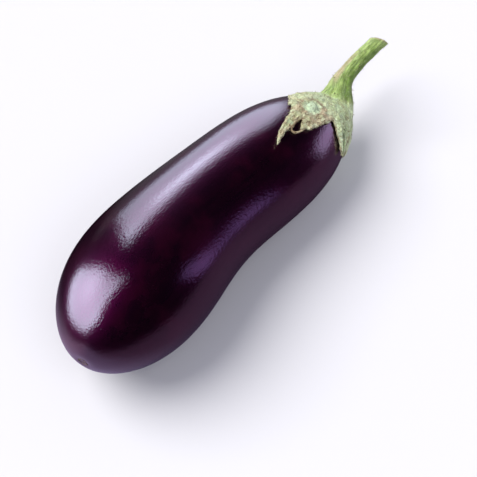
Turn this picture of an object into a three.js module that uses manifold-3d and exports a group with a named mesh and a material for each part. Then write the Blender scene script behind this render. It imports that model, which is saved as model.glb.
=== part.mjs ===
// An eggplant as picked, lying on its side: a long glossy fruit, the lobed green calyx that caps its
// neck, and the curved stem it hung by. Millimetres, +Z up. The fruit lies along X with its stem at +X.
// It rests on the flat spot of its belly, whose centre is the origin, and on a second one at the neck.

import * as THREE from "three";
import { mergeVertices } from "three/addons/utils/BufferGeometryUtils.js";
import Module from "manifold-3d";

const point = (x, y, z) => new THREE.Vector3(x, y, z);
const degrees = THREE.MathUtils.degToRad;
const lerp = THREE.MathUtils.lerp;
const UP = point(0, 0, 1);

// ---- Fruit: its gently bowed middle line, from the blossom end to the stem end -------------------
const SPINE = new THREE.CubicBezierCurve3(
  point(-68, -11, 41.5),
  point(25, 8.3, 34.6),
  point(43.7, 1.7, 33.2),
  point(129, -11, 26.8),
);
// Girth along the spine: Bernstein weights that multiply the round-ended class curve sqrt(t (1 - t)).
const GIRTH = [115.5, 101.6, 48.9, 54.7, 76.3, 93.2];
const BINOMIAL = [1, 5, 10, 10, 5, 1];
const FRUIT_RINGS = 44;
const FRUIT_SIDES = 40;
const SCAR_RADIUS = 4.5; // the shallow dimple where the flower fell off
const SCAR_DEPTH = 1.1;

// ---- Calyx: a leathery cap that lies on the neck, with lobes along the skin ----------------------
const SKIN_GAP = 0.3;
const CAP_EDGE = 26; // reach of the cap between the lobes, measured along the skin from the stem end
const CAP_THICK = 2.1;
const EDGE_THICK = 1.2;
const FLARE_START = 20; // where the cap leaves the skin and sweeps up to the stem
const HUB_RISE = 2.5; // fullness of that sweep
const CALYX_SIDES = 36;
// Each lobe runs along the skin from root to reach while it turns about the spine from angle to
// tipAngle: 0 is the +Y side, 90 the top. A higher bend leaves more of the turn to the tip. The width
// shrinks from width at the root to blunt at the tip, which stands off the skin by lift.
const LOBES = [
  { root: 12, reach: 44, angle: 60, tipAngle: 70, bend: 1, width: 26, blunt: 12, lift: 0.6 },
  { root: 14, reach: 67.5, angle: 86, tipAngle: 103, bend: 4, width: 13, blunt: 1.2, lift: 1.6 },
  { root: 14, reach: 50, angle: 99, tipAngle: 102, bend: 1, width: 15, blunt: 6, lift: 0.8 },
  { root: 15, reach: 34, angle: 115, tipAngle: 163, bend: 1, width: 25, blunt: 6, lift: 1.8 },
  { root: 14, reach: 43, angle: 232, tipAngle: 226, bend: 1, width: 19, blunt: 1.4, lift: 0.6 },
  { root: 14, reach: 40, angle: 296, tipAngle: 300, bend: 1, width: 18, blunt: 1.4, lift: 0.4 },
  { root: 14, reach: 37, angle: 0, tipAngle: -6, bend: 1, width: 18, blunt: 1.4, lift: 0.4 },
];
const LOBE_STEPS = 12;
const LOBE_COLUMNS = 6;

// ---- Stem: a ribbed stalk that leaves the neck at a slant and curves up --------------------------
const STEM_PATH = new THREE.CatmullRomCurve3([
  point(135, -5.8, 31),
  point(143.5, -2.5, 35.5),
  point(155.4, -2.4, 40),
  point(171, -4.5, 44.5),
]);
const STEM_TIP_RADIUS = 4.1;
const STEM_FLARE = 5.2; // added to the radius at the calyx, dying away up the stem
const STEM_FLARE_REACH = 8;
const STEM_RIBS = 7;
const RIB_HEIGHT = 0.35;
const STEM_CUT_SLANT = 0.55; // rise of the cut face per millimetre across it
const STEM_RINGS = 16;
const STEM_SIDES = 28;

function girth(t) {
  const sum = GIRTH.reduce(
    (total, weight, i) => total + BINOMIAL[i] * weight * t ** i * (1 - t) ** (5 - i),
    0,
  );
  return Math.sqrt(Math.max(t * (1 - t), 0)) * sum;
}

// The fruit's outline as radius against distance along the spine, with the dimple sunk at its start.
const SPINE_LENGTH = SPINE.getLength();
const OUTLINE = new THREE.SplineCurve(
  Array.from({ length: 121 }, (_, i) => {
    const t = (1 - Math.cos((Math.PI * i) / 120)) / 2;
    const radius = girth(t);
    const dimple = t < 0.5 ? SCAR_DEPTH * Math.exp(-((radius / SCAR_RADIUS) ** 2)) : 0;
    return new THREE.Vector2(radius, alongSpine(t) + dimple);
  }),
);
OUTLINE.arcLengthDivisions = 600;
const OUTLINE_LENGTH = OUTLINE.getLength();

function alongSpine(t) {
  const lengths = SPINE.getLengths();
  const place = t * (lengths.length - 1);
  const i = Math.min(Math.floor(place), lengths.length - 2);
  return lerp(lengths[i], lengths[i + 1], place - i);
}

// A point given as radius and angle about the spine, at a distance along it.
function aroundSpine(radius, along, angle) {
  const u = THREE.MathUtils.clamp(along / SPINE_LENGTH, 0, 1);
  const tangent = SPINE.getTangentAt(u);
  const side = UP.clone().cross(tangent).normalize();
  const top = tangent.clone().cross(side);
  return SPINE.getPointAt(u)
    .addScaledVector(tangent, along - u * SPINE_LENGTH)
    .addScaledVector(side, radius * Math.cos(angle))
    .addScaledVector(top, radius * Math.sin(angle));
}

// A point raised by lift above the skin. reach is measured along the skin from the stem end.
function onSkin(reach, angle, lift) {
  const u = 1 - reach / OUTLINE_LENGTH;
  const place = OUTLINE.getPointAt(u);
  const along = OUTLINE.getTangentAt(u);
  return aroundSpine(place.x + along.y * lift, place.y - along.x * lift, angle);
}

// A closed body through rings of equal size, with a fan over the first and the last ring.
function loft(rings) {
  const sides = rings[0].length;
  const middle = (ring) =>
    ring.reduce((sum, p) => sum.add(p), new THREE.Vector3()).divideScalar(sides);
  const vertices = [...rings.flat(), middle(rings[0]), middle(rings[rings.length - 1])];
  const first = rings.length * sides;
  const index = [];
  for (let j = 0; j < sides; j++) {
    const next = (j + 1) % sides;
    for (let i = 0; i < rings.length - 1; i++) {
      const [a, b, c, d] = [i * sides + j, i * sides + next, (i + 1) * sides + next, (i + 1) * sides + j];
      index.push(a, b, c, a, c, d);
    }
    const last = (rings.length - 1) * sides;
    index.push(first, next, j, first + 1, last + j, last + next);
  }
  return new THREE.BufferGeometry().setFromPoints(vertices).setIndex(index);
}

const angles = (count) => Array.from({ length: count }, (_, j) => (2 * Math.PI * j) / count);
const steps = (count) => Array.from({ length: count + 1 }, (_, i) => i / count);

// ---- Solids --------------------------------------------------------------------------------------
const wasm = await Module();
wasm.setup();

function toSolid(geometry) {
  const bare = new THREE.BufferGeometry()
    .setAttribute("position", geometry.getAttribute("position"))
    .setIndex(geometry.index);
  const merged = mergeVertices(bare, 1e-4);
  return new wasm.Manifold(
    new wasm.Mesh({
      numProp: 3,
      vertProperties: merged.attributes.position.array,
      triVerts: new Uint32Array(merged.index.array),
    }),
  );
}

function toGeometry(solid) {
  const mesh = solid.getMesh();
  return new THREE.BufferGeometry()
    .setAttribute("position", new THREE.BufferAttribute(mesh.vertProperties, 3))
    .setIndex(new THREE.BufferAttribute(mesh.triVerts, 1));
}

function fruitBody() {
  const poleShare = 0.012;
  const rings = steps(FRUIT_RINGS).map((s) => {
    const reach = OUTLINE_LENGTH * lerp(1 - poleShare, poleShare, s);
    return angles(FRUIT_SIDES).map((angle) => onSkin(reach, angle, 0));
  });
  const whole = toSolid(loft(rings));
  const floor = new THREE.BoxGeometry(400, 200, 20).translate(0, 0, -10);
  return toGeometry(whole.subtract(toSolid(floor)));
}

function stemRadius(distance, angle, length) {
  const plain = STEM_TIP_RADIUS + STEM_FLARE * Math.exp(-distance / STEM_FLARE_REACH);
  const rib = RIB_HEIGHT * (1 - (0.6 * distance) / length) * Math.cos(STEM_RIBS * angle);
  return plain + rib;
}

// Axes across the stem at a share of its length: its own side and top, as aroundSpine has them.
function stemAxes(u) {
  const tangent = STEM_PATH.getTangentAt(u);
  const side = UP.clone().cross(tangent).normalize();
  return { tangent, side, top: tangent.clone().cross(side) };
}

function stemRing(u, slant, sides) {
  const { tangent, side, top } = stemAxes(u);
  const length = STEM_PATH.getLength();
  const centre = STEM_PATH.getPointAt(u);
  return angles(sides).map((angle) => {
    const radius = stemRadius(u * length, angle, length);
    return centre
      .clone()
      .addScaledVector(side, radius * Math.cos(angle))
      .addScaledVector(top, radius * Math.sin(angle))
      .addScaledVector(tangent, -slant * radius * Math.cos(angle));
  });
}

// The cap and the hub that sweeps up from it to the foot of the stem.
function calyxCap() {
  const inner = [1, 6, 12, 17, 21.5, CAP_EDGE].map((reach) =>
    angles(CALYX_SIDES).map((angle) => onSkin(reach, angle, SKIN_GAP)),
  );
  const edge = [EDGE_THICK, CAP_THICK, CAP_THICK].map((thick, i) =>
    angles(CALYX_SIDES).map((angle) => onSkin([CAP_EDGE, 23, FLARE_START][i], angle, SKIN_GAP + thick)),
  );
  const foot = stemRing(0, 0, CALYX_SIDES);
  const stemward = stemAxes(0).tangent;
  const flare = steps(6)
    .slice(1)
    .map((s) =>
      angles(CALYX_SIDES).map((angle, j) => {
        const start = onSkin(FLARE_START, angle, SKIN_GAP + CAP_THICK);
        const inward = onSkin(FLARE_START - 7, angle, SKIN_GAP + CAP_THICK + HUB_RISE);
        const beneath = foot[j].clone().addScaledVector(stemward, -2);
        return new THREE.CubicBezierCurve3(start, inward, beneath, foot[j]).getPoint(s);
      }),
    );
  return loft([...inner, ...edge, ...flare]);
}

// One lobe: a box wrapped on the skin along the lobe's middle line, narrowing to its tip.
function calyxLobe({ root, reach, angle, tipAngle, bend, width, blunt, lift }) {
  const lobe = new THREE.BoxGeometry(1, 1, 1, LOBE_COLUMNS, LOBE_STEPS, 1);
  const place = lobe.attributes.position;
  const turn = degrees(tipAngle - angle);
  for (let i = 0; i < place.count; i++) {
    const across = place.getX(i) * 2;
    const along = place.getY(i) + 0.5;
    const outer = place.getZ(i) > 0;
    const distance = lerp(root, reach - blunt * 0.5 * across ** 2, along);
    const radius = OUTLINE.getPointAt(1 - distance / OUTLINE_LENGTH).x;
    const slant = Math.atan2(radius * turn * bend * along ** (bend - 1), reach - root);
    const aside = (across * lerp(width, blunt, along ** 1.15)) / 2;
    const thick = lerp(CAP_THICK, EDGE_THICK, along) * (1 - 0.25 * across ** 2);
    const wrapped = onSkin(
      Math.max(distance - Math.sin(slant) * aside, 2),
      degrees(angle) + turn * along ** bend + (Math.cos(slant) * aside) / radius,
      SKIN_GAP + lift * along ** 3 + (outer ? thick : 0),
    );
    place.setXYZ(i, wrapped.x, wrapped.y, wrapped.z);
  }
  lobe.index.array.reverse();
  return lobe;
}

function calyxBody() {
  const joined = LOBES.reduce((sum, lobe) => sum.add(toSolid(calyxLobe(lobe))), toSolid(calyxCap()));
  return toGeometry(joined);
}

function stemBody() {
  const start = SKIN_GAP / STEM_PATH.getLength();
  const rings = steps(STEM_RINGS).map((s) => {
    const slant = STEM_CUT_SLANT * THREE.MathUtils.smoothstep(s, 0.8, 1);
    return stemRing(lerp(start, 1, s), slant, STEM_SIDES);
  });
  return loft(rings);
}

// ---- The part ------------------------------------------------------------------------------------
const skin = new THREE.MeshStandardMaterial({ color: 0x1d0a1c, roughness: 0.12, metalness: 0 });
const sepal = new THREE.MeshStandardMaterial({ color: 0xb3b283, roughness: 0.75, metalness: 0 });
const stalk = new THREE.MeshStandardMaterial({ color: 0x7f9f4c, roughness: 0.7, metalness: 0 });

function piece(name, geometry, material) {
  const mesh = new THREE.Mesh(geometry, material);
  mesh.name = name;
  return mesh;
}

const eggplant = new THREE.Group();
eggplant.add(
  piece("fruit", fruitBody(), skin),
  piece("calyx", calyxBody(), sepal),
  piece("stem", stemBody(), stalk),
);

export default eggplant;
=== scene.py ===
"""An eggplant as picked, lying on its side: glossy fruit, lobed calyx, curved ribbed stem.

Shapes are worked out in millimetres in the part's own frame and stored in metres. The fruit lies
along X with its stem at +X, and rests on the flat spot of its belly, whose centre is the origin.
"""

import math

import bmesh
import bpy
import numpy as np
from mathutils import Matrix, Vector, noise
from mathutils.kdtree import KDTree


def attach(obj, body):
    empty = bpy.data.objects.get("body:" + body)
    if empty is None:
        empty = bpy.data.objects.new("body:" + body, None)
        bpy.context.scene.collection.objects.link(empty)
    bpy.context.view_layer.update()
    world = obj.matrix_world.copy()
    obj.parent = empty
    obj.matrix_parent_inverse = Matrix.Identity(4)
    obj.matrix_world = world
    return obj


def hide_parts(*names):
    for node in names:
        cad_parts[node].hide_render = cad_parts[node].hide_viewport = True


bl_info = {
    "name": "Eggplant",
    "version": (1, 0, 0),
    "blender": (4, 5, 0),
    "location": "View3D > Sidebar > Eggplant",
    "description": "Builds a whole eggplant: fruit, blossom scar, calyx, stem, prickles and hairs",
    "category": "Add Mesh",
}

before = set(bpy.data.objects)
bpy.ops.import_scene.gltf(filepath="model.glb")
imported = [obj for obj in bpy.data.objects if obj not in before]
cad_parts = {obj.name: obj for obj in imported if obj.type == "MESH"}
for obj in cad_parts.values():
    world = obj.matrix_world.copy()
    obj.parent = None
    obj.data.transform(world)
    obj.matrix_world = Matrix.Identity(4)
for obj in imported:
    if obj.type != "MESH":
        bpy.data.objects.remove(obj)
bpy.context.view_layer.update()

MM = 0.001
BODY = "root"
GREEN_PIECES = ("calyx_cap", "stem_stalk")
TAU = 2 * math.pi
UP = np.array((0.0, 0.0, 1.0))

# The fruit's middle line, from the blossom end to the stem end, and its girth along it.
SPINE = np.array(((-68, -11, 41.5), (25, 8.3, 34.6), (43.7, 1.7, 33.2), (129, -11, 26.8)))
GIRTH = (115.5, 101.6, 48.9, 54.7, 76.3, 93.2)
SCAR_RADIUS = 4.5
SCAR_DEPTH = 1.1

# The stem's middle line, from its foot on the calyx to its cut end.
STEM_PATH = np.array(((135, -5.8, 31), (143.5, -2.5, 35.5), (155.4, -2.4, 40), (171, -4.5, 44.5)))
STEM_TIP_RADIUS = 4.1
STEM_FLARE = 5.2
STEM_FLARE_REACH = 8
STEM_ROWS = 44

# The calyx: a thick cap on the stem end whose hub rises to the stem, a little above the skin.
SKIN_GAP = 0.15
CAP_EDGE = 26
CAP_THICK = 2.1
FLARE_START = 20
HUB_RISE = 2.5
HUB_INSET = 7

# The torn strip's loop and the pale wart, as reaches from the stem end and angles in degrees.
LOOP_REACH = (46, 50, 53.2, 54.6, 54.0, 51.5, 48)
LOOP_ANGLE = (93, 94.5, 96, 99, 102, 104, 104.5)
LOOP_RADIUS = 0.75
WART_REACH = (31.5, 33.5, 35.5, 37.5)
WART_ANGLE = (88, 87.5, 87, 86)
WART_RADIUS = 2.9
WART_CENTRE = (34, 87, 2.5)


def lobe_facts(**facts):
    """A lobe's facts, with the usual bend, groove and raggedness where none is given."""
    return {"bend": 1, "groove": 0, "rag": 0.12, **facts}


# Every lobe runs along the skin from root to reach, measured from the stem end, while it turns about
# the spine from angle to tip (0 is the +Y side, 90 the top). width narrows to blunt at the tip.
LOBES = (
    lobe_facts(root=12, reach=44, angle=60, tip=70, width=26, blunt=12, lift=0.6, dry=0.35, rag=0.16),
    lobe_facts(root=13, reach=48, angle=78, tip=82, width=17, blunt=11, lift=0.5, dry=0.5, rag=0.25),
    lobe_facts(
        root=14, reach=67.5, angle=86, tip=103, bend=4, width=13, blunt=1.2,
        lift=1.6, dry=0.6, groove=0.3, rag=0.3,
    ),
    lobe_facts(root=14, reach=50, angle=99, tip=102, width=15, blunt=6, lift=0.8, dry=0.7, rag=0.3),
    lobe_facts(root=15, reach=33, angle=115, tip=161, width=25, blunt=4, lift=0.9, dry=0.1, groove=0.9),
    lobe_facts(root=14, reach=43, angle=232, tip=226, width=19, blunt=1.4, lift=0.6, dry=0.25, groove=0.6),
    lobe_facts(root=14, reach=40, angle=296, tip=300, width=18, blunt=1.4, lift=0.4, dry=0.25, groove=0.6),
    lobe_facts(root=14, reach=37, angle=0, tip=-6, width=18, blunt=1.4, lift=0.4, dry=0.3, groove=0.6),
)

# Fixed facts of the finishes. Tones are linear red, green and blue.
SKIN_SPECK = (0.06, 0.03, 0.035)
WAX_TINT = (0.9, 0.02, 0.4, 1)
WAX_LEVEL = 0.97
GLOSS_IOR = 1.9
CORK = ((0.03, 0.012, 0.012), (0.12, 0.07, 0.06))
CORK_CRACK = (0.30, 0.22, 0.18)
WART_MINT = (0.47, 0.60, 0.41)
PRICKLE_TAN = (0.34, 0.30, 0.16)
HAIR_PALE = (0.55, 0.56, 0.42)

# Painted reflections: colours the floor shows only in the gloss, all darker than the floor: a dimmed violet
# reflection of the lit floor near the blossom end, and painted shade beside the fruit, far off, and behind
# it.
PAINTED_REFLECTION_LIT = ((0.22, 0.18, 0.30), (0.38, 0.28, 0.42))
PAINTED_REFLECTION_SHADE = (0.095, 0.055, 0.1)
PAINTED_REFLECTION_FAR = (0.006, 0.002, 0.006)
PAINTED_REFLECTION_BEHIND = ((0.006, 0.003, 0.005), (0.07, 0.066, 0.072))
SKY_FILL = (0.38, 0.38, 0.48)
SKY_SEEN = (0.90, 0.90, 0.93)
SKY_MIRRORED = (0.009, 0.005, 0.014)

# The camera, in millimetres, and the lamps that light what is matt.
CAMERA_LENS = 100
CAMERA_PLACE = (-173.14, -206.53, 659.59)
CAMERA_TARGET = (38, -19.8, 26.5)
LAMP_SPREAD = 44
FILL_SHARE = 0.22

# The light panels that show in the gloss. Each faces its origin from an azimuth and elevation in
# degrees, at a distance. A corner is millimetres across and up from the panel's centre, the brightness
# there, and the width over which its edge fades. A hot spot is a place, an extra brightness and a width.
COOL = (0.70, 0.81, 1.0)
VIOLET = (0.60, 0.35, 1.0)
LILAC = (0.72, 0.60, 1.0)
SOFTBOXES = (
    dict(
        name="softbox_neck",
        origin=(38, -20, 45),
        azimuth=55,
        elevation=0,
        distance=250,
        colour=COOL,
        strength="light_strength",
        outline=(
            (135, 5, 0.25, 25),
            (130, 375, 0.45, 30),
            (75, 300, 0.5, 45),
            (10, 210, 0.45, 70),
            (-40, 175, 0.35, 80),
            (-95, 160, 0.5, 70),
            (-110, 60, 0.5, 50),
            (-90, -42, 0.36, 40),
            (20, -42, 0.36, 25),
        ),
        hot=((18, 120, 0.8, 30), (105, 215, 0.15, 60)),
    ),
    dict(
        name="softbox_bulb",
        origin=(-45, 0, 55),
        azimuth=130,
        elevation=35,
        distance=300,
        colour=COOL,
        strength="light_strength",
        outline=(
            (-200, -190, 0.75, 60),
            (-122, 60, 0.6, 70),
            (-50, 200, 0.4, 80),
            (0, 350, 0.35, 90),
            (100, 190, 0.75, 40),
            (225, 95, 0.95, 40),
            (255, -60, 0.8, 40),
            (150, -160, 0.65, 40),
            (0, -260, 0.75, 20),
            (-150, -260, 0.75, 20),
        ),
        hot=((-40, 20, 0.3, 95),),
    ),
    dict(
        name="softbox_side",
        origin=(10, -40, 45),
        azimuth=-52,
        elevation=12,
        distance=110,
        colour=VIOLET,
        strength="side_strength",
        outline=(
            (-26, 62, 0.5, 18),
            (-18, 10, 1, 18),
            (-2, -16, 1, 16),
            (18, -14, 1, 16),
            (16, 30, 0.8, 22),
            (0, 66, 0.5, 22),
        ),
    ),
    dict(
        name="softbox_shoulder",
        origin=(110, -20, 45),
        azimuth=-35,
        elevation=0,
        distance=260,
        colour=LILAC,
        strength="shoulder_strength",
        outline=(
            (-95, -42, 0.5, 60),
            (105, -42, 0.6, 60),
            (95, 40, 0.8, 60),
            (0, 95, 0.6, 60),
            (-75, 60, 0.7, 60),
        ),
    ),
)


# ---- Shape of the fruit --------------------------------------------------------------------------


def unit(vectors):
    return vectors / np.linalg.norm(vectors, axis=-1, keepdims=True)


def lerp(a, b, share):
    return a + (b - a) * share


def smooth(low, high, value):
    share = np.clip((value - low) / (high - low), 0, 1)
    return share * share * (3 - 2 * share)


def bell(value, middle, width):
    return np.exp(-(((value - middle) / width) ** 2))


def lengths_along(points):
    """How far along the line through the points each one lies."""
    return np.concatenate(([0], np.cumsum(np.linalg.norm(np.diff(points, axis=0), axis=1))))


def bezier(t, a, b, c, d):
    return (1 - t) ** 3 * a + 3 * (1 - t) ** 2 * t * b + 3 * (1 - t) * t * t * c + t**3 * d


def spine_point(t):
    return bezier(np.asarray(t, float)[..., None], *SPINE)


def spine_tangent(t):
    t = np.asarray(t, float)[..., None]
    a, b, c, d = SPINE
    return unit((1 - t) ** 2 * (b - a) + 2 * (1 - t) * t * (c - b) + t * t * (d - c))


def girth(t):
    t = np.asarray(t, float)
    total = sum(math.comb(5, i) * (1 - t) ** (5 - i) * t**i * w for i, w in enumerate(GIRTH))
    return np.sqrt(np.clip(t * (1 - t), 0, None)) * total


# The outline as tables against t: distance along the spine, radius, and reach from the stem end.
T_TABLE = (1 - np.cos(np.linspace(0, math.pi, 2001))) / 2
ALONG_TABLE = lengths_along(spine_point(T_TABLE))
RADIUS_TABLE = girth(T_TABLE)
ARC_TABLE = lengths_along(np.stack((ALONG_TABLE, RADIUS_TABLE), 1))
REACH_TABLE = ARC_TABLE[-1] - ARC_TABLE
SLOPE_TABLE = np.gradient(RADIUS_TABLE, ARC_TABLE)
OUTLINE_LENGTH = ARC_TABLE[-1]


def on_skin(reach, angle, lift):
    """Points raised by lift above the skin, at a reach from the stem end and an angle in radians."""
    reach, angle, lift = np.broadcast_arrays(
        np.asarray(reach, float), np.asarray(angle, float), np.asarray(lift, float)
    )
    t = np.interp(reach, REACH_TABLE[::-1], T_TABLE[::-1])
    slope = np.interp(reach, REACH_TABLE[::-1], SLOPE_TABLE[::-1])[..., None]
    tangent = spine_tangent(t)
    side = unit(np.cross(UP, tangent))
    top = np.cross(tangent, side)
    outward = np.cos(angle)[..., None] * side + np.sin(angle)[..., None] * top
    normal = outward * np.sqrt(np.clip(1 - slope**2, 0, 1)) - tangent * slope
    return spine_point(t) + girth(t)[..., None] * outward + lift[..., None] * normal


def skin_radius(reach):
    return np.interp(reach, REACH_TABLE[::-1], RADIUS_TABLE[::-1])


# ---- Mesh helpers --------------------------------------------------------------------------------


def wave_noise(points, scale, seed=0.0):
    """Smooth noise from -1 to 1 at each point. scale is in cells per unit length."""
    shift = Vector((seed * 17.3, seed * -9.1, seed * 5.7))
    return np.array([noise.noise(Vector(p) * scale + shift) for p in points])


def loft_faces(rows, columns, closed=True):
    """Quads between rows of equal length, the columns joined into rings where closed."""
    count = columns if closed else columns - 1
    i, j = np.meshgrid(np.arange(rows - 1), np.arange(count), indexing="ij")
    k = (j + 1) % columns
    row, following = i * columns, (i + 1) * columns
    quads = np.stack((row + j, row + k, following + k, following + j), -1)
    return quads.reshape(-1, 4).tolist()


def capped_loft(rings):
    """Vertices and faces of rings closed by a fan at each end."""
    rings = np.asarray(rings)
    rows, columns = rings.shape[:2]
    vertices = np.concatenate((rings.reshape(-1, 3), [rings[0].mean(0)], [rings[-1].mean(0)]))
    faces = loft_faces(rows, columns)
    first, last = rows * columns, rows * columns + 1
    base = (rows - 1) * columns
    for j in range(columns):
        k = (j + 1) % columns
        faces.append((first, k, j))
        faces.append((last, base + j, base + k))
    return vertices, faces


def new_mesh(name, vertices, faces, scale=MM):
    mesh = bpy.data.meshes.new(name)
    mesh.from_pydata((np.asarray(vertices) * scale).tolist(), [], faces)
    mesh.validate()
    mesh.update()
    return mesh


def new_object(name, mesh):
    mesh.name = name
    piece = bpy.data.objects.new(name, mesh)
    bpy.context.scene.collection.objects.link(piece)
    return piece


def shade_smooth(mesh):
    mesh.polygons.foreach_set("use_smooth", np.ones(len(mesh.polygons), bool))
    mesh.update()


def set_attribute(mesh, name, values):
    values = np.asarray(values, np.float32)
    kind, key = ("FLOAT_VECTOR", "vector") if values.ndim == 2 else ("FLOAT", "value")
    attribute = mesh.attributes.new(name, kind, "POINT")
    attribute.data.foreach_set(key, values.ravel())


def attribute_values(mesh, name):
    flat = np.empty(len(mesh.vertices), np.float32)
    mesh.attributes[name].data.foreach_get("value", flat)
    return flat.astype(float)


def coordinates(mesh):
    flat = np.empty(len(mesh.vertices) * 3, np.float32)
    mesh.vertices.foreach_get("co", flat)
    return flat.reshape(-1, 3).astype(float)


def normals(mesh):
    flat = np.empty(len(mesh.vertices) * 3, np.float32)
    mesh.vertex_normals.foreach_get("vector", flat)
    return flat.reshape(-1, 3).astype(float)


def set_coordinates(mesh, points):
    mesh.vertices.foreach_set("co", np.asarray(points, np.float32).ravel())
    mesh.update()


def evaluated_mesh(piece):
    depsgraph = bpy.context.evaluated_depsgraph_get()
    return bpy.data.meshes.new_from_object(piece.evaluated_get(depsgraph), depsgraph=depsgraph)


def finish_piece(piece, material, replaced=()):
    piece.data.materials.clear()
    piece.data.materials.append(material)
    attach(piece, BODY)
    if replaced:
        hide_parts(*replaced)
    return piece


# ---- Shader helpers ------------------------------------------------------------------------------


def add_node(tree, kind, values=None, **settings):
    """A node with its settings, its unlinked inputs given by name or number."""
    node = tree.nodes.new(kind)
    for key, value in settings.items():
        setattr(node, key, value)
    for key, value in (values or {}).items():
        node.inputs[key].default_value = value
    return node


def plug(tree, value, socket):
    """Link the socket to a number or a socket, or set it to a plain value."""
    if isinstance(value, Number):
        value = value.socket
    if isinstance(value, bpy.types.NodeSocket):
        tree.links.new(value, socket)
    elif value is not None:
        socket.default_value = value


def math_node(tree, operation, first, second=None):
    node = add_node(tree, "ShaderNodeMath", operation=operation)
    plug(tree, first, node.inputs[0])
    plug(tree, second, node.inputs[1])
    return Number(tree, node.outputs[0])


class Number:
    """A number in a node tree. Arithmetic on it adds Math nodes."""

    def __init__(self, tree, socket):
        self.tree = tree
        self.socket = socket

    def apply(self, operation, other=None, swap=False):
        first, second = (other, self) if swap else (self, other)
        return math_node(self.tree, operation, first, second)

    def limited(self):
        return self.apply("MAXIMUM", 0.0).apply("MINIMUM", 1.0)

    def __add__(self, other):
        return self.apply("ADD", other)

    def __sub__(self, other):
        return self.apply("SUBTRACT", other)

    def __rsub__(self, other):
        return self.apply("SUBTRACT", other, swap=True)

    def __mul__(self, other):
        return self.apply("MULTIPLY", other)

    def __truediv__(self, other):
        return self.apply("DIVIDE", other)

    def __pow__(self, other):
        return self.apply("POWER", other)

    __radd__ = __add__
    __rmul__ = __mul__


def axes_of(tree, socket):
    node = add_node(tree, "ShaderNodeSeparateXYZ")
    tree.links.new(socket, node.inputs[0])
    return [Number(tree, output) for output in node.outputs]


def range_node(tree, value, low, high, to_low=0.0, to_high=1.0):
    """A smooth step of value from one range to the other."""
    node = add_node(
        tree,
        "ShaderNodeMapRange",
        {"From Min": low, "From Max": high, "To Min": to_low, "To Max": to_high},
        interpolation_type="SMOOTHSTEP",
    )
    plug(tree, value, node.inputs["Value"])
    return Number(tree, node.outputs["Result"])


def mix_colour(tree, share, first, second):
    """The first colour, or the second where share is 1. Colours are sockets or three values."""
    node = add_node(tree, "ShaderNodeMix", data_type="RGBA")
    plug(tree, share, node.inputs[0])
    for value, socket in ((first, node.inputs[6]), (second, node.inputs[7])):
        plug(tree, value if isinstance(value, bpy.types.NodeSocket) else (*value, 1), socket)
    return node.outputs[2]


def layered(tree, colour, layers):
    """A colour with others laid over it in order, each with its share."""
    for share, tone in layers:
        colour = mix_colour(tree, share, colour, tone)
    return colour


def bump_node(tree, height, strength, distance):
    node = add_node(tree, "ShaderNodeBump", {"Strength": strength, "Distance": distance})
    plug(tree, height, node.inputs["Height"])
    return node.outputs[0]


def attribute_node(tree, name, output="Fac"):
    return add_node(tree, "ShaderNodeAttribute", attribute_name=name).outputs[output]


def object_place(tree):
    return add_node(tree, "ShaderNodeTexCoord").outputs["Object"]


def shader_group(name, inputs, outputs):
    """An empty shader group with named sockets, and its two end nodes."""
    tree = bpy.data.node_groups.new(name, "ShaderNodeTree")
    for label, kind, value in inputs:
        socket = tree.interface.new_socket(label, in_out="INPUT", socket_type=kind)
        if value is not None:
            socket.default_value = value
    for label, kind in outputs:
        tree.interface.new_socket(label, in_out="OUTPUT", socket_type=kind)
    return tree, tree.nodes.new("NodeGroupInput"), tree.nodes.new("NodeGroupOutput")


def fibre_grain_group():
    """Fine strands that run along the growth, with broader bands under them: a height and a mask."""
    found = bpy.data.node_groups.get("fibre_grain")
    if found:
        return found
    tree, given, made = shader_group(
        "fibre_grain",
        [
            ("Vector", "NodeSocketVector", None),
            ("Strand Scale", "NodeSocketFloat", 1.0),
            ("Stretch", "NodeSocketFloat", 0.1),
            ("Band Share", "NodeSocketFloat", 0.4),
        ],
        [("Height", "NodeSocketFloat"), ("Bands", "NodeSocketFloat")],
    )
    across = given.outputs["Strand Scale"]
    along = math_node(tree, "MULTIPLY", across, given.outputs["Stretch"])
    scale = add_node(tree, "ShaderNodeCombineXYZ")
    for value, socket in zip((across, across, along), scale.inputs):
        plug(tree, value, socket)
    stretched = add_node(tree, "ShaderNodeVectorMath", operation="MULTIPLY")
    tree.links.new(given.outputs["Vector"], stretched.inputs[0])
    tree.links.new(scale.outputs[0], stretched.inputs[1])
    strands = add_node(tree, "ShaderNodeTexNoise", {"Scale": 1.0, "Detail": 3.0, "Roughness": 0.6})
    bands = add_node(tree, "ShaderNodeTexNoise", {"Scale": 0.22, "Detail": 1.0, "Roughness": 0.5})
    for texture in (strands, bands):
        tree.links.new(stretched.outputs[0], texture.inputs["Vector"])
    fine, broad, share = (
        Number(tree, socket) for socket in (strands.outputs[0], bands.outputs[0], given.outputs["Band Share"])
    )
    plug(tree, fine * (1.0 - share) + broad * share, made.inputs["Height"])
    plug(tree, range_node(tree, broad, 0.38, 0.62), made.inputs["Bands"])
    return tree


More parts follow.
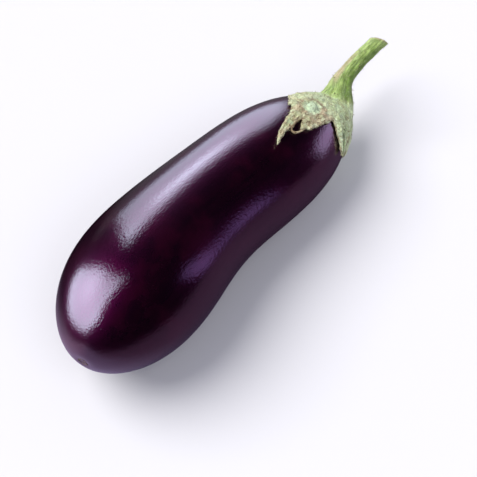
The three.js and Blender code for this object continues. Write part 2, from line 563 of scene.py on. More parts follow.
def mottle_group():
    """Cloudy patches, small specks in them, and thin wrinkles between them: three masks from 0 to 1."""
    found = bpy.data.node_groups.get("mottle")
    if found:
        return found
    tree, given, made = shader_group(
        "mottle",
        [
            ("Vector", "NodeSocketVector", None),
            ("Patch Scale", "NodeSocketFloat", 80.0),
            ("Speck Scale", "NodeSocketFloat", 600.0),
            ("Speck Size", "NodeSocketFloat", 0.2),
        ],
        [("Patches", "NodeSocketFloat"), ("Specks", "NodeSocketFloat"), ("Wrinkles", "NodeSocketFloat")],
    )
    patches = add_node(tree, "ShaderNodeTexNoise", {"Detail": 3.0, "Roughness": 0.55})
    specks = add_node(tree, "ShaderNodeTexVoronoi")
    tree.links.new(given.outputs["Vector"], patches.inputs["Vector"])
    tree.links.new(given.outputs["Patch Scale"], patches.inputs["Scale"])
    tree.links.new(given.outputs["Vector"], specks.inputs["Vector"])
    tree.links.new(given.outputs["Speck Scale"], specks.inputs["Scale"])
    cloud = Number(tree, patches.outputs[0])
    plug(tree, range_node(tree, cloud, 0.38, 0.64), made.inputs["Patches"])
    middle = (cloud - 0.5).apply("ABSOLUTE")
    plug(tree, range_node(tree, middle, 0.004, 0.022, 1.0, 0.0), made.inputs["Wrinkles"])
    near = Number(tree, given.outputs["Speck Size"]) - Number(tree, specks.outputs["Distance"])
    plug(tree, (near * 12.0).limited(), made.inputs["Specks"])
    return tree


def group_node(tree, group, vector, **values):
    """The group's outputs as numbers, with its inputs set from the values."""
    node = add_node(tree, "ShaderNodeGroup", node_tree=group)
    tree.links.new(vector, node.inputs["Vector"])
    for key, value in values.items():
        node.inputs[key.replace("_", " ").title()].default_value = value
    return [Number(tree, output) for output in node.outputs]


def new_material(name):
    material = bpy.data.materials.new(name)
    material.use_nodes = True
    tree = material.node_tree
    return material, tree, tree.nodes["Principled BSDF"]


def skin_material(settings):
    """Near-black purple under a clear waxy gloss, with maroon where light spreads in the wax."""
    material, tree, surface = new_material("waxy_purple_skin")
    surface.inputs["IOR"].default_value = 1.5
    surface.inputs["Roughness"].default_value = settings.wax_roughness
    surface.inputs["Specular Tint"].default_value = WAX_TINT
    surface.inputs["Specular IOR Level"].default_value = WAX_LEVEL
    surface.inputs["Coat Weight"].default_value = 1.0
    surface.inputs["Coat IOR"].default_value = GLOSS_IOR
    surface.inputs["Coat Roughness"].default_value = settings.gloss_roughness
    fibre = attribute_node(tree, "fibre", "Vector")
    grain = fibre_grain_group()
    height, bands = group_node(tree, grain, fibre, strand_scale=1.5, stretch=0.07, band_share=0.3)
    patches, specks, _ = group_node(
        tree, mottle_group(), object_place(tree), patch_scale=48.0, speck_scale=420.0, speck_size=0.09
    )
    layers = (
        (patches**2.2, settings.maroon_colour),
        (0.2 * bands, settings.maroon_colour),
        (0.25 * specks, SKIN_SPECK),
    )
    plug(tree, layered(tree, settings.deep_colour, layers), surface.inputs["Base Color"])
    plug(tree, bump_node(tree, height, 0.7, 0.00003), surface.inputs["Normal"])
    stretch = add_node(tree, "ShaderNodeMapping", {"Scale": (0.95, 0.95, 0.55)})
    tree.links.new(fibre, stretch.inputs["Vector"])
    pores = add_node(tree, "ShaderNodeTexNoise", {"Scale": 1.0, "Detail": 2.0, "Roughness": 0.6})
    tree.links.new(stretch.outputs[0], pores.inputs["Vector"])
    plug(tree, bump_node(tree, pores.outputs[0], 1.0, 0.00012), surface.inputs["Coat Normal"])
    return material


def scar_material():
    """Dry brown cork with pale cracks, where the flower fell off."""
    material, tree, surface = new_material("corky_scar")
    surface.inputs["Roughness"].default_value = 0.85
    patches, specks, _ = group_node(
        tree, mottle_group(), object_place(tree), patch_scale=500.0, speck_scale=1500.0, speck_size=0.3
    )
    cork = mix_colour(tree, patches, *CORK)
    plug(tree, mix_colour(tree, specks, cork, CORK_CRACK), surface.inputs["Base Color"])
    plug(tree, bump_node(tree, patches, 0.8, 0.0003), surface.inputs["Normal"])
    return material


def green_material(name, settings):
    """Leathery tissue: pale and fresh green, tan where it dries, brown margins, creases and specks."""
    material, tree, surface = new_material(name)
    surface.inputs["Specular IOR Level"].default_value = 0.3
    fibre = attribute_node(tree, "fibre", "Vector")
    place = object_place(tree)
    fresh, dry, brown, pale, stalk, vein = (
        Number(tree, attribute_node(tree, key)) for key in ("fresh", "dry", "brown", "pale", "stalk", "vein")
    )
    grain, mottle = fibre_grain_group(), mottle_group()
    height, bands = group_node(tree, grain, fibre, strand_scale=1.0, stretch=0.2, band_share=0.3)
    patches, specks, wrinkles = group_node(
        tree, mottle, place, patch_scale=260.0, speck_scale=800.0, speck_size=0.28
    )
    flecks, _, _ = group_node(tree, mottle, place, patch_scale=900.0, speck_scale=1300.0, speck_size=0.25)
    strands = range_node(tree, height, 0.40, 0.60)
    # On the stem, fresh and dry also carry painted shade and a painted highlight from green_samples.
    dryness = dry * (0.6 * patches + 0.5)
    # A darker copy of the fresh green, for the strands and the groove line.
    dark_green = tuple(0.35 * c for c in settings.fresh_colour)
    layers = (
        (fresh * (1.0 - 0.35 * patches), settings.fresh_colour),
        (strands * (0.5 * stalk + 0.25), dark_green),
        (0.36 * flecks, settings.fleck_colour),
        (bands * (0.42 - 0.3 * stalk), settings.vein_colour),
        (dryness, settings.dry_colour),
        (0.75 * pale, WART_MINT),
        (0.45 * dry * strands, settings.brown_colour),
        (0.35 * specks, settings.brown_colour),
        (0.7 * brown, settings.brown_colour),
        (wrinkles * (0.5 * dry + 0.5) * (1.0 - stalk), settings.brown_colour),
        (0.9 * vein, dark_green),
    )
    light = mix_colour(tree, stalk, settings.pale_colour, settings.stem_colour)
    plug(tree, layered(tree, light, layers), surface.inputs["Base Color"])
    plug(tree, range_node(tree, dryness, 0.0, 1.0, 0.55, 0.8), surface.inputs["Roughness"])
    plug(tree, bump_node(tree, height + 0.4 * patches, 0.9, 0.0004), surface.inputs["Normal"])
    return material


def plain_material(name, colour, roughness, scale=900.0):
    """A matt finish with a slight cloudy change of tone."""
    material, tree, surface = new_material(name)
    surface.inputs["Roughness"].default_value = roughness
    patches, _, _ = group_node(
        tree, mottle_group(), object_place(tree), patch_scale=scale, speck_scale=scale * 3, speck_size=0.1
    )
    darker = tuple(0.6 * c for c in colour)
    plug(tree, mix_colour(tree, patches, colour, darker), surface.inputs["Base Color"])
    return material


# ---- Fruit ---------------------------------------------------------------------------------------


def swell(turn, share, amount):
    """Slow unevenness of the skin, more towards the neck."""
    neck = ((share - 0.45) * 2.0).limited()
    ribs = (5.0 * turn + 1.6 * share + 1.3).apply("COSINE") * (0.05 + 0.2 * neck)
    waves = (7.5 * share + 2.0 * turn + 0.4).apply("SINE") * 0.16
    ripples = (17.0 * share - turn).apply("SINE") * 0.1
    fading = (math.pi * share).apply("SINE").apply("MAXIMUM", 0.0).apply("SQRT")
    return (ribs + waves + ripples) * amount * fading


def fruit_tree():
    """Geometry nodes that wrap a sphere round a curved middle line, with a girth that follows a
    polynomial, a dimple at the blossom end and a flat spot to rest on. Lengths are in millimetres."""
    tree = bpy.data.node_groups.new("fruit_on_spine", "GeometryNodeTree")
    face = tree.interface
    face.new_socket("Geometry", in_out="INPUT", socket_type="NodeSocketGeometry")
    spine_names = [f"Spine {i}" for i in range(4)]
    girth_names = [f"Girth {i}" for i in range(6)]
    for label, kind in (
        ("Rings", "NodeSocketInt"),
        ("Sides", "NodeSocketInt"),
        *((label, "NodeSocketVector") for label in spine_names),
        *((label, "NodeSocketFloat") for label in girth_names),
        *((label, "NodeSocketFloat") for label in ("Swell", "Dimple Radius", "Dimple Depth")),
        ("Finish", "NodeSocketMaterial"),
    ):
        face.new_socket(label, in_out="INPUT", socket_type=kind)
    face.new_socket("Geometry", in_out="OUTPUT", socket_type="NodeSocketGeometry")
    given = tree.nodes.new("NodeGroupInput").outputs
    made = tree.nodes.new("NodeGroupOutput").inputs
    link = tree.links.new

    ball = add_node(tree, "GeometryNodeMeshUVSphere", {"Radius": 1.0})
    link(given["Rings"], ball.inputs["Rings"])
    link(given["Sides"], ball.inputs["Segments"])
    x, y, z = axes_of(tree, add_node(tree, "GeometryNodeInputPosition").outputs[0])
    share = (0.5 * z + 0.5).limited()
    rest = 1.0 - share
    turn = y.apply("ARCTAN2", x)

    total = 0.0
    for i, label in enumerate(girth_names):
        weight = Number(tree, given[label]) * float(math.comb(5, i))
        total = weight * rest ** float(5 - i) * share ** float(i) + total
    radius = (share * rest).apply("SQRT") * total
    dimple = ((radius / Number(tree, given["Dimple Radius"])) ** 2.0 * -1.0).apply("EXPONENT")
    dimple = dimple * Number(tree, given["Dimple Depth"]) * share.apply("LESS_THAN", 0.5)
    radius = radius + swell(turn, share, Number(tree, given["Swell"]))

    centre, along = [], []
    for a, b, c, d in zip(*(axes_of(tree, given[label]) for label in spine_names)):
        middle = 3.0 * rest**2.0 * share * b + 3.0 * rest * share**2.0 * c
        centre.append(rest**3.0 * a + middle + share**3.0 * d)
        along.append(rest**2.0 * (b - a) + 2.0 * rest * share * (c - b) + share**2.0 * (d - c))
    length = (along[0] ** 2.0 + along[1] ** 2.0 + along[2] ** 2.0).apply("SQRT")
    along = [part / length for part in along]
    flat = (along[0] ** 2.0 + along[1] ** 2.0).apply("SQRT")
    side = (0.0 - along[1] / flat, along[0] / flat)
    top = (0.0 - along[2] * side[1], along[2] * side[0], along[0] * side[1] - along[1] * side[0])
    right, up = radius * turn.apply("COSINE"), radius * turn.apply("SINE")
    spot = [
        centre[0] + right * side[0] + up * top[0] + dimple * along[0],
        centre[1] + right * side[1] + up * top[1] + dimple * along[1],
        (centre[2] + up * top[2] + dimple * along[2]).apply("MAXIMUM", 0.0),
    ]
    place = add_node(tree, "ShaderNodeCombineXYZ")
    for part, socket in zip(spot, place.inputs):
        plug(tree, part * MM, socket)

    current = ball.outputs["Mesh"]
    for name, value in (("share", share), ("turn", turn)):
        store = add_node(tree, "GeometryNodeStoreNamedAttribute", {"Name": name})
        link(current, store.inputs["Geometry"])
        plug(tree, value, store.inputs["Value"])
        current = store.outputs["Geometry"]
    shaped = add_node(tree, "GeometryNodeSetPosition")
    link(current, shaped.inputs["Geometry"])
    link(place.outputs[0], shaped.inputs["Position"])
    real = add_node(tree, "GeometryNodeRealizeInstances")
    link(shaped.outputs[0], real.inputs["Geometry"])
    finish = add_node(tree, "GeometryNodeSetMaterial")
    link(real.outputs[0], finish.inputs["Geometry"])
    link(given["Finish"], finish.inputs["Material"])
    link(finish.outputs[0], made["Geometry"])
    return tree


def grown(piece, tree, values):
    """Replace the piece's mesh by what the tree makes of it. values go to its inputs by their names."""
    modifier = piece.modifiers.new("grow", "NODES")
    modifier.node_group = tree
    for item in tree.interface.items_tree:
        if item.item_type == "SOCKET" and item.in_out == "INPUT" and item.name in values:
            modifier[item.identifier] = values[item.name]
    before = piece.data
    made = evaluated_mesh(piece)
    piece.modifiers.remove(modifier)
    piece.data = made
    bpy.data.meshes.remove(before)
    made.name = piece.name
    shade_smooth(made)
    return piece


def build_fruit(settings, finish):
    values = {"Rings": settings.rings, "Sides": settings.sides, "Swell": settings.swell, "Finish": finish}
    values.update({"Dimple Radius": SCAR_RADIUS, "Dimple Depth": SCAR_DEPTH})
    values.update({f"Spine {i}": tuple(point.tolist()) for i, point in enumerate(SPINE)})
    values.update({f"Girth {i}": weight for i, weight in enumerate(GIRTH)})
    piece = new_object("fruit_skin", bpy.data.meshes.new("fruit_skin"))
    mesh = grown(piece, fruit_tree(), values).data
    share, turn = (attribute_values(mesh, name) for name in ("share", "turn"))
    size = np.maximum(girth(share), 3)
    along = np.interp(share, T_TABLE, ARC_TABLE)
    set_attribute(mesh, "fibre", np.stack((np.cos(turn) * size, np.sin(turn) * size, along), 1))
    return piece


def build_scar():
    """A ragged corky disc with a raised rim, sunk in the dimple of the blossom end."""
    rows, sides = 9, 36
    angle = np.arange(sides) * TAU / sides
    rings = []
    for i in range(rows):
        share = (i + 1) / rows
        ragged = 1 + 0.09 * np.cos(3 * angle + 1) + 0.06 * np.cos(7 * angle)
        radius = 3.3 * share * (1 + (ragged - 1) * share)
        cracks = 0.1 * np.cos(5 * angle + 2) * share
        height = -0.3 + 0.5 * bell(share, 0.72, 0.2) + cracks
        sunk = height - SCAR_DEPTH * bell(radius, 0, SCAR_RADIUS)
        rings.append(on_skin(OUTLINE_LENGTH - radius, angle, sunk))
    rings.append(on_skin(OUTLINE_LENGTH - 3.6, angle, -1.2))
    rings.append(on_skin(OUTLINE_LENGTH - 1.0, angle, -1.9))
    mesh = new_mesh("blossom_scar", *capped_loft(rings))
    shade_smooth(mesh)
    return new_object("blossom_scar", mesh)


# ---- Calyx and stem ------------------------------------------------------------------------------


def stem_curve(count):
    """Points and tangents of a smooth curve through the stem's path, evenly spaced."""
    before = 2 * STEM_PATH[0] - STEM_PATH[1]
    after = 2 * STEM_PATH[-1] - STEM_PATH[-2]
    ends = np.array((before, *STEM_PATH, after))
    points = []
    for a, b, c, d in zip(ends, ends[1:], ends[2:], ends[3:]):
        for u in np.linspace(0, 1, 40, endpoint=False):
            bend = (2 * a - 5 * b + 4 * c - d) * u**2
            twist = (3 * b - a - 3 * c + d) * u**3
            points.append(0.5 * (2 * b + (c - a) * u + bend + twist))
    points = np.array([*points, STEM_PATH[-1]])
    length = lengths_along(points)
    even = np.linspace(0, length[-1], count)
    centre = np.stack([np.interp(even, length, points[:, k]) for k in range(3)], 1)
    return centre, unit(np.gradient(centre, axis=0)), even


def stem_rings(count, angle):
    """Rings of the ribbed stalk with its flared foot and slanting cut end, and the way it leaves."""
    centre, tangent, distance = stem_curve(count)
    side = unit(np.cross(UP, tangent))
    top = np.cross(tangent, side)
    share = (distance / distance[-1])[:, None]
    turn = angle[None, :] + 0.5 * share
    ridge = np.abs(np.cos(3.5 * turn)) ** 1.6 - 0.5
    uneven = 0.35 * np.cos(2 * turn + 5 * share) * bell(share, 0.28, 0.22)
    radius = STEM_TIP_RADIUS + STEM_FLARE * np.exp(-distance[:, None] / STEM_FLARE_REACH)
    radius = radius + (0.75 - 0.35 * share) * ridge + uneven + 0.35 * smooth(0.9, 1.0, share)
    slant = 0.55 * smooth(0.8, 1.0, share)
    rings = centre[:, None] + radius[..., None] * (
        np.cos(angle)[None, :, None] * side[:, None]
        + np.sin(angle)[None, :, None] * top[:, None]
        - (slant * np.cos(angle)[None, :])[..., None] * tangent[:, None]
    )
    return rings, tangent[0]


def stalk_and_cap():
    """One closed loft: under the cap, round its edge, up the hub and along the stem to the cut end.
    Returns vertices, faces, and the outer rings with how far along the loft each one lies."""
    sides = 96
    angle = np.arange(sides) * TAU / sides
    stem, stemward = stem_rings(STEM_ROWS, angle)
    scallop = 1.2 * np.sin(5 * angle + 0.6) + 0.8 * np.sin(11 * angle + 2.0)
    rings = [on_skin(reach, angle, SKIN_GAP) for reach in (1, 5, 9, 13, 17, 20, 23)]
    rings.append(on_skin(CAP_EDGE + scallop, angle, SKIN_GAP))
    outer = [on_skin(CAP_EDGE + 0.4 + scallop, angle, 0.6)]
    outer.append(on_skin(CAP_EDGE - 0.4 + scallop, angle, 1.15))
    full = SKIN_GAP + CAP_THICK
    outer += [on_skin(reach, angle, full - lack) for reach, lack in ((24, 0.4), (22, 0.1))]
    start = on_skin(FLARE_START, angle, full)
    inward = on_skin(FLARE_START - HUB_INSET, angle, full + HUB_RISE)
    beneath = stem[0] - 2 * stemward
    for u in np.linspace(0, 1, 15)[:-1]:
        outer.append(bezier(u, start, inward, beneath, stem[0]))
    hub_rows = len(outer)
    outer += list(stem)
    vertices, faces = capped_loft([*rings, *outer])
    outer = np.array(outer)
    return vertices, faces, outer, hub_rows, angle


def lobe_grid(lobe, index):
    """Grids of outer and inner points of one lobe, with its share across (-1 to 1) and along (0 to 1)."""
    columns, rows = 25, 76
    across, along = np.meshgrid(np.linspace(-1, 1, columns), np.linspace(0, 1, rows))
    turn = math.radians(lobe["tip"] - lobe["angle"])
    reach = lerp(lobe["root"], lobe["reach"] - lobe["blunt"] * 0.4 * across**2, along)
    radius = skin_radius(reach)
    sideways = radius * turn * lobe["bend"] * along ** (lobe["bend"] - 1)
    slant = np.arctan2(sideways, lobe["reach"] - lobe["root"])
    ragged = np.empty((rows, 2))
    for row in range(rows):
        for side in (0, 1):
            spot = Vector((row * 0.13, side * 9.7, index * 3.1))
            ragged[row, side] = noise.noise(spot) + 0.5 * noise.noise(spot * 3.1)
    ragged = np.where(across < 0, ragged[:, :1], ragged[:, 1:])
    rounded = np.sqrt(np.clip(1 - (np.clip(along - 0.9, 0, 1) / 0.102) ** 2, 0.02, 1))
    aside = across * lerp(lobe["width"], lobe["blunt"], along**1.15) / 2 * rounded
    aside = aside * (1 + lobe["rag"] * ragged * along)
    thick = lerp(CAP_THICK, 1.35, along) * (1 - 0.3 * across**2 - 0.25 * across**6)
    fading = smooth(0.05, 0.5, along) * smooth(1.0, 0.85, along)
    thick = thick - lobe["groove"] * 0.9 * bell(across, 0, 0.16) * fading
    if lobe["groove"]:
        thick = thick + 0.35 * bell(np.abs(across), 0.4, 0.18)
    curl = 0.5 * across**4 * along
    ripple = 0.25 * np.sin(along * 17 + index * 2 + 1.5 * across) * along * (0.3 + across**2)
    lift = SKIN_GAP + lobe["lift"] * along**3 + curl + np.maximum(ripple, -0.1)
    spin = math.radians(lobe["angle"]) + turn * along ** lobe["bend"] + np.cos(slant) * aside / radius
    distance = np.maximum(reach - np.sin(slant) * aside, 2)
    inner = on_skin(distance, spin, lift)
    outer = on_skin(distance, spin, lift + np.maximum(thick, 0.8))
    return outer, inner, across, along, aside


def closed_sheet(outer, inner):
    """A closed body between two grids of the same shape, outer facing out."""
    rows, columns = outer.shape[:2]
    vertices = np.concatenate((outer.reshape(-1, 3), inner.reshape(-1, 3)))
    grid = loft_faces(rows, columns, closed=False)
    shift = rows * columns
    faces = [tuple(f) for f in grid] + [tuple(v + shift for v in reversed(f)) for f in grid]
    rim = list(range(columns))
    rim += [i * columns + columns - 1 for i in range(1, rows)]
    rim += [(rows - 1) * columns + j for j in range(columns - 2, -1, -1)]
    rim += [i * columns for i in range(rows - 2, 0, -1)]
    for a, b in zip(rim, rim[1:] + rim[:1]):
        faces.append((b, a, a + shift, b + shift))
    return vertices, faces


def strand(points, radius, sides=8):
    """A thin closed tube through points, thinner at both ends."""
    points = np.asarray(points, float)
    tangent = unit(np.gradient(points, axis=0))
    side = unit(np.cross(UP, tangent))
    top = np.cross(tangent, side)
    angle = np.arange(sides) * TAU / sides
    share = np.linspace(0, 1, len(points))
    size = radius * (0.75 + 0.25 * np.sin(math.pi * share))[:, None, None]
    rings = points[:, None] + size * (
        np.cos(angle)[None, :, None] * side[:, None] + np.sin(angle)[None, :, None] * top[:, None]
    )
    return capped_loft(rings)


def green_samples(outer, hub_rows, angle, lobes):
    """Where each kind of tissue lies: points with their fibre coordinates, margin, dryness, freshness,
    whether they are on the stalk, and a darker line along the groove. On the stem, dryness also holds
    a painted highlight on the side towards the key lamp, and freshness painted shade on the far side."""
    points, fibre, margin, dry, fresh, stalk, vein = ([] for _ in range(7))
    rows = len(outer)
    step = np.linalg.norm(np.diff(outer, axis=0), axis=-1).mean(1)
    along = np.concatenate(([0], np.cumsum(step)))
    for i in range(rows):
        share = max(i - hub_rows, 0) / (rows - hub_rows)
        points.append(outer[i])
        fibre.append(np.stack((7 * np.cos(angle), 7 * np.sin(angle), np.full(len(angle), along[i])), 1))
        margin.append(np.full(len(angle), 1.0 if i < 2 else 0.0))
        # Painted light on the stem: the side towards the key lamp gets less fresh green and a tan stripe, a
        # painted highlight; the far side gets deeper green, painted shade.
        side = np.cos(angle - math.radians(205))
        stem = smooth(hub_rows - 6, hub_rows + 3, i)
        ridge = smooth(0.5, 0.9, -side) * smooth(0.1, 0.3, share) * smooth(0.75, 0.5, share)
        dry.append(np.clip(0.25 * (1 - stem) + 0.9 * smooth(0.93, 1.0, share) + 0.8 * ridge, 0, 1))
        fresh.append(stem * (0.4 + 0.6 * smooth(-0.6, 0.4, side)) * (1 - 0.6 * smooth(0.7, 1.0, share)))
        stalk.append(np.full(len(angle), float(stem)))
        vein.append(np.zeros(len(angle)))
    for lobe, (top, _, across, share, aside) in lobes:
        edge = np.abs(across)
        points.append(top.reshape(-1, 3))
        length = lobe["reach"] - lobe["root"]
        fibre.append(np.stack((aside, 0 * aside + lobe["angle"], share * length), -1).reshape(-1, 3))
        margin.append((smooth(0.86, 1.0, edge) * smooth(0.1, 0.5, share)).ravel())
        aged = lobe["dry"] * smooth(0.1, 0.6, share)
        aged = aged + 0.45 * smooth(0.6, 0.95, edge) + 0.5 * smooth(0.8, 1.0, share)
        dry.append(np.clip(aged * smooth(0, 0.3, share) + 0.3 * lobe["dry"], 0, 1).ravel())
        core = bell(across, 0, 0.3) * smooth(0, 0.4, share) * (1 - share)
        # A darker line along the middle of a grooved lobe.
        midrib = bell(across, 0.1, 0.12) * smooth(0.25, 0.45, share) * smooth(1.0, 0.9, share)
        vein.append((midrib * lobe["groove"]).ravel())
        fresh.append((core * lerp(0.3, 0.75, lobe["groove"])).ravel())
        stalk.append(np.zeros(share.size))
    return [np.concatenate(values) for values in (points, fibre, margin, dry, fresh, stalk, vein)]


def nearest(samples, points):
    tree = KDTree(len(samples))
    for i, point in enumerate(samples):
        tree.insert(point, i)
    tree.balance()
    return np.array([tree.find(point)[1] for point in points])


def remeshed(bodies, voxel):
    """One skin over all the overlapping bodies, in millimetres."""
    vertices, faces, shift = [], [], 0
    for body_vertices, body_faces in bodies:
        vertices.append(body_vertices)
        faces += [tuple(v + shift for v in face) for face in body_faces]
        shift += len(body_vertices)
    mesh = new_mesh("rough_green", np.concatenate(vertices), faces, scale=1.0)
    rough = new_object("rough_green", mesh)
    remesh = rough.modifiers.new("join", "REMESH")
    remesh.mode = "VOXEL"
    remesh.voxel_size = voxel
    even = rough.modifiers.new("even", "SMOOTH")
    even.factor = 0.5
    even.iterations = 2
    mesh = evaluated_mesh(rough)
    bpy.data.objects.remove(rough)
    return mesh


def cut_mesh(mesh, name, point, direction, keep_front):
    """A closed copy of the part of mesh on one side of a plane, scaled to metres."""
    shape = bmesh.new()
    shape.from_mesh(mesh)
    everything = shape.verts[:] + shape.edges[:] + shape.faces[:]
    cut = bmesh.ops.bisect_plane(
        shape,
        geom=everything,
        plane_co=point,
        plane_no=direction,
        clear_inner=keep_front,
        clear_outer=not keep_front,
    )
    seam = [e for e in cut["geom_cut"] if isinstance(e, bmesh.types.BMEdge)]
    bmesh.ops.holes_fill(shape, edges=seam, sides=0)
    for face in shape.faces:
        face.smooth = True
    for edge in seam:
        edge.smooth = False
    bmesh.ops.scale(shape, vec=(MM, MM, MM), verts=shape.verts)
    bmesh.ops.recalc_face_normals(shape, faces=shape.faces)
    if shape.calc_volume(signed=True) < 0:
        bmesh.ops.reverse_faces(shape, faces=shape.faces)
    result = bpy.data.meshes.new(name)
    shape.to_mesh(result)
    shape.free()
    return result


def wart_marks(points):
    """How far each point belongs to the pale wart, and to the dry ring round it."""
    reach, turn, lift = WART_CENTRE
    from_wart = np.linalg.norm(points - on_skin(reach, math.radians(turn), lift), axis=1)
    pale = smooth(6.6, 2.6, from_wart + 1.2 * wave_noise(points, 0.5, 9))
    return pale, bell(from_wart, 7.2, 1.3)


def cut_marks(points, last_ring):
    """How far each point belongs to the stem's cut end, and to the brown rim round it."""
    end = last_ring.mean(0)
    facing = unit(np.cross(last_ring[0] - end, last_ring[len(last_ring) // 4] - end))
    from_end = np.linalg.norm(points - end, axis=1)
    cut = smooth(-0.7, -0.2, (points - end) @ facing) * smooth(8, 6, from_end)
    return cut, smooth(0.65, 0.95, from_end / STEM_TIP_RADIUS)


def green_relief(points, fibre, stalk, leaf, creases):
    """How far each point is raised: ridges along the growth, slow waves, small lumps and creases."""
    ridges = (0.15 + 0.13 * stalk) * wave_noise(fibre * (1, 1, 0.16), 0.85, 1)
    waves = 0.45 * leaf * wave_noise(points, 0.3, 2)
    lumps = (0.1 + 0.16 * leaf) * wave_noise(points, 0.85, 3)
    return ridges + waves + lumps - 0.3 * creases


def build_green(settings):
    """The calyx and the stem, grown as one skin and parted at the hub."""
    vertices, faces, outer, hub_rows, angle = stalk_and_cap()
    lobes = [(lobe, lobe_grid(lobe, i)) for i, lobe in enumerate(LOBES)]
    bodies = [(vertices, faces)] + [closed_sheet(grid[0], grid[1]) for _, grid in lobes]
    bodies.append(strand(on_skin(LOOP_REACH, np.radians(LOOP_ANGLE), 0.9), LOOP_RADIUS))
    bodies.append(strand(on_skin(WART_REACH, np.radians(WART_ANGLE), 1.1), WART_RADIUS, 16))
    mesh = remeshed(bodies, settings.voxel)

    samples, *tissue = green_samples(outer, hub_rows, angle, lobes)
    points = coordinates(mesh)
    found = nearest(samples, points)
    fibre, margin, dry, fresh, stalk, vein = (values[found] for values in tissue)
    leaf = 1 - 0.85 * stalk
    pale, ring = wart_marks(points)
    broad = bell(wave_noise(points, 0.34, 4), 0, 0.04)
    fine = bell(wave_noise(points, 0.7, 6), 0, 0.05)
    creases = np.maximum(broad, 0.6 * fine) * leaf * (1 - pale)
    cut, rim = cut_marks(points, outer[-1])
    dry = lerp(dry, 0.35 + 0.6 * rim, cut)
    pale = np.maximum(pale, cut * (1 - rim))
    stalk = stalk * (1 - cut)
    blotches = leaf * smooth(0.0, 0.5, wave_noise(points, 0.3, 8))
    shares = {
        "brown": 0.9 * margin + 0.4 * creases * dry + 0.2 * ring,
        "dry": dry * (1 - pale) + 0.25 * leaf * wave_noise(points, 0.2, 5) + 0.7 * ring,
        "fresh": fresh * (1 - cut),
        "pale": pale + 0.55 * blotches,
        "outside": smooth(1.4, 0.5, np.linalg.norm(points - samples[found], axis=1)),
        "stalk": stalk,
        "vein": vein,
    }
    set_attribute(mesh, "fibre", fibre)
    for name, values in shares.items():
        set_attribute(mesh, name, np.clip(values, 0, 1))
    depth = green_relief(points, fibre, stalk, leaf, creases)
    set_coordinates(mesh, points + normals(mesh) * depth[:, None])

    centre, tangent, _ = stem_curve(STEM_ROWS)
    parts = []
    for name, front in zip(GREEN_PIECES, (False, True)):
        parts.append(new_object(name, cut_mesh(mesh, name, centre[1], tangent[0], front)))
    bpy.data.meshes.remove(mesh)
    return parts


# ---- Prickles and hairs --------------------------------------------------------------------------


def scatter_tree(name):
    """Geometry nodes that stand small curved spikes on a surface and drop the surface itself."""
    tree = bpy.data.node_groups.new(name, "GeometryNodeTree")
    face = tree.interface
    face.new_socket("Geometry", in_out="INPUT", socket_type="NodeSocketGeometry")
    for label, kind, value in (
        ("Density", "NodeSocketFloat", 1e5),
        ("Length", "NodeSocketFloat", 0.001),
        ("Radius", "NodeSocketFloat", 0.0001),
        ("Bend", "NodeSocketFloat", 0.3),
        ("Lean", "NodeSocketFloat", 0.4),
        ("Seed", "NodeSocketInt", 1),
        ("Finish", "NodeSocketMaterial", None),
    ):
        socket = face.new_socket(label, in_out="INPUT", socket_type=kind)
        if value is not None:
            socket.default_value = value
    face.new_socket("Geometry", in_out="OUTPUT", socket_type="NodeSocketGeometry")
    given = tree.nodes.new("NodeGroupInput").outputs
    made = tree.nodes.new("NodeGroupOutput").inputs
    link = tree.links.new

    spots = add_node(tree, "GeometryNodeDistributePointsOnFaces", distribute_method="RANDOM")
    link(given["Geometry"], spots.inputs["Mesh"])
    outside = add_node(tree, "GeometryNodeInputNamedAttribute", {"Name": "outside"}, data_type="FLOAT")
    share = Number(tree, outside.outputs["Attribute"])
    length, bend, lean, density = (Number(tree, given[key]) for key in ("Length", "Bend", "Lean", "Density"))
    plug(tree, density * share, spots.inputs["Density"])
    link(given["Seed"], spots.inputs["Seed"])

    spike = add_node(tree, "GeometryNodeMeshCone", {"Vertices": 4, "Side Segments": 3, "Radius Top": 0.0})
    link(given["Radius"], spike.inputs["Radius Bottom"])
    link(given["Length"], spike.inputs["Depth"])
    _, _, height = axes_of(tree, add_node(tree, "GeometryNodeInputPosition").outputs[0])
    offset = add_node(tree, "ShaderNodeCombineXYZ")
    plug(tree, (height / length) ** 2.0 * bend * length, offset.inputs[0])
    curved = add_node(tree, "GeometryNodeSetPosition")
    link(spike.outputs["Mesh"], curved.inputs["Geometry"])
    link(offset.outputs[0], curved.inputs["Offset"])

    tilt = add_node(tree, "FunctionNodeRandomValue", data_type="FLOAT_VECTOR")
    link(given["Seed"], tilt.inputs["Seed"])
    reach = add_node(tree, "ShaderNodeCombineXYZ")
    back = add_node(tree, "ShaderNodeCombineXYZ")
    for k in (0, 1):
        plug(tree, lean, reach.inputs[k])
        plug(tree, lean * -1.0, back.inputs[k])
    reach.inputs[2].default_value = TAU
    link(back.outputs[0], tilt.inputs[0])
    link(reach.outputs[0], tilt.inputs[1])
    tilted = add_node(tree, "FunctionNodeEulerToRotation")
    link(tilt.outputs[0], tilted.inputs[0])
    turned = add_node(tree, "FunctionNodeRotateRotation", rotation_space="LOCAL")
    link(spots.outputs["Rotation"], turned.inputs[0])
    link(tilted.outputs[0], turned.inputs[1])
    size = add_node(tree, "FunctionNodeRandomValue", {2: 0.45, 3: 1.0}, data_type="FLOAT")
    link(given["Seed"], size.inputs["Seed"])

    copies = add_node(tree, "GeometryNodeInstanceOnPoints")
    link(spots.outputs["Points"], copies.inputs["Points"])
    link(curved.outputs[0], copies.inputs["Instance"])
    link(turned.outputs[0], copies.inputs["Rotation"])
    link(size.outputs[1], copies.inputs["Scale"])
    real = add_node(tree, "GeometryNodeRealizeInstances")
    link(copies.outputs[0], real.inputs["Geometry"])
    finish = add_node(tree, "GeometryNodeSetMaterial")
    link(real.outputs[0], finish.inputs["Geometry"])
    link(given["Finish"], finish.inputs["Material"])
    link(finish.outputs[0], made["Geometry"])
    return tree


